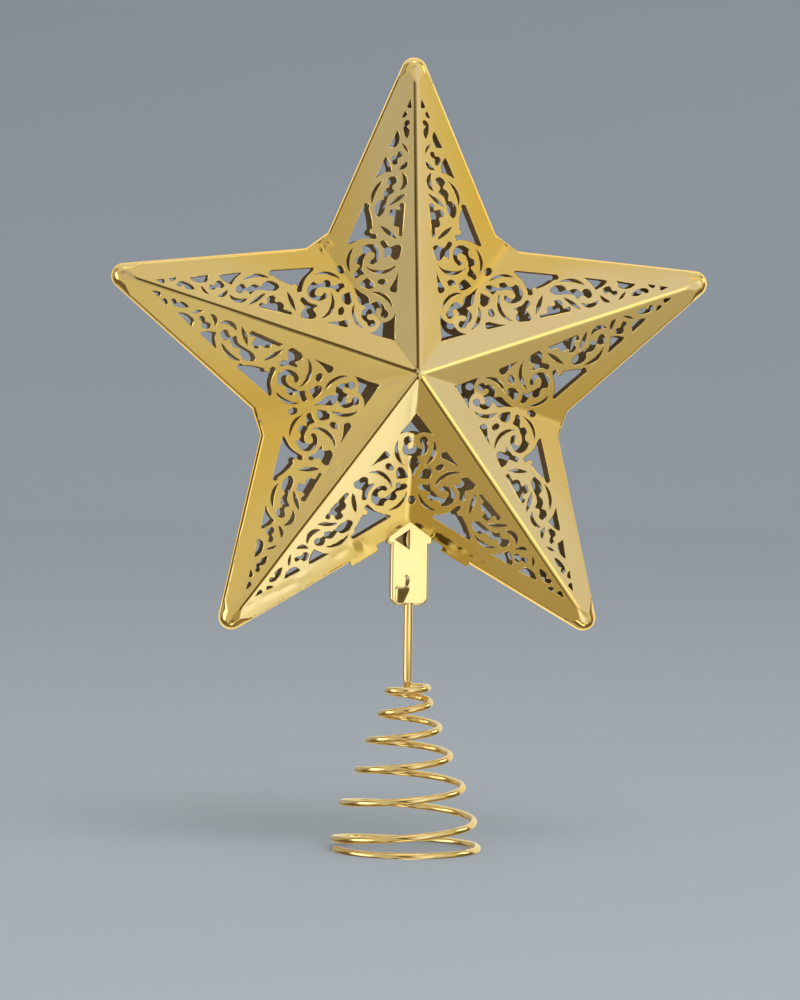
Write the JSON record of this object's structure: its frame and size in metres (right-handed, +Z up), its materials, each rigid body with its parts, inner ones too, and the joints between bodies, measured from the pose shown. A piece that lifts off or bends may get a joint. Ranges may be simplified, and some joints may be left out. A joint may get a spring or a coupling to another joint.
{
  "type": "christmas tree topper star",
  "caption": "Pierced five-point metal star of two dished half-shells on a bracketed stem, with a conical wire coil that slips over the top shoot of a tree.",
  "frame": {"origin": "on the coil's axis, in the plane of the flat under its lowest turn", "axes": "+Z up along the stem to the star's top tip, -Y out of the star's front, +X to the star's right seen from the front"},
  "size_m": [0.2016, 0.0508, 0.2663],
  "materials": {
    "star_gold": "satin to mirror gold plate on thin pressed sheet",
    "bracket_gold": "pale mirror gold plate",
    "stem_gold": "mirror gold plate on drawn tube",
    "wire_gold": "polished gold plate on spring wire"
  },
  "bodies": {
    "coil": {"tree_coil": "wire_gold"},
    "stem": {"stem_tube": "stem_gold"},
    "star": {"front_shell": "star_gold", "back_shell": "star_gold", "bracket_front_leaf": "bracket_gold", "bracket_back_leaf": "bracket_gold"}
  },
  "joints": [
    {"name": "stem_lift", "type": "slide", "parent": "coil", "child": "stem", "axis": [0, 0, 1], "range_m": [0, 0.03]},
    {"name": "star_swivel", "type": "hinge", "parent": "stem", "child": "star", "pos_m": [0, 0, 0.095], "axis": [0, 0, 1], "continuous": true}
  ]
}
